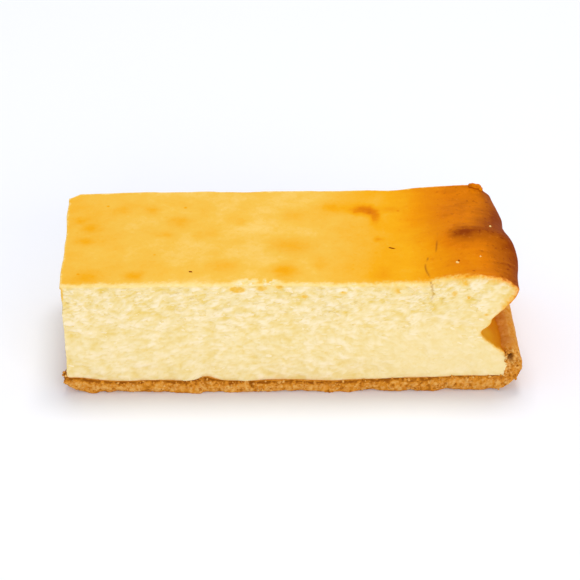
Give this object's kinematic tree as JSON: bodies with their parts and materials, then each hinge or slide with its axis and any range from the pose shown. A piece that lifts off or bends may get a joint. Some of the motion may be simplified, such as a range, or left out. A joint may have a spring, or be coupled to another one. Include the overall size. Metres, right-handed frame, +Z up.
{
  "type": "baked cheesecake slice",
  "caption": "Bar-shaped slice of baked cheesecake: a tall baked filling on a thin shortcrust base whose rim turns up at the baked end.",
  "frame": {"origin": "middle of the bar's outer box, on the flat surface that the base stands on", "axes": "+X along the bar from the cut end to the baked end, +Y from the front cut to the back cut, +Z up"},
  "size_m": [0.121, 0.0504, 0.0362],
  "materials": {
    "baked_shortcrust": "crumbly golden-brown baked shortcrust, matt",
    "baked_curd_filling": "moist pale cream cut faces under a satin golden baked skin that browns at the baked end"
  },
  "bodies": {
    "root": {"shortcrust_base": "baked_shortcrust", "baked_filling": "baked_curd_filling"}
  },
  "joints": []
}
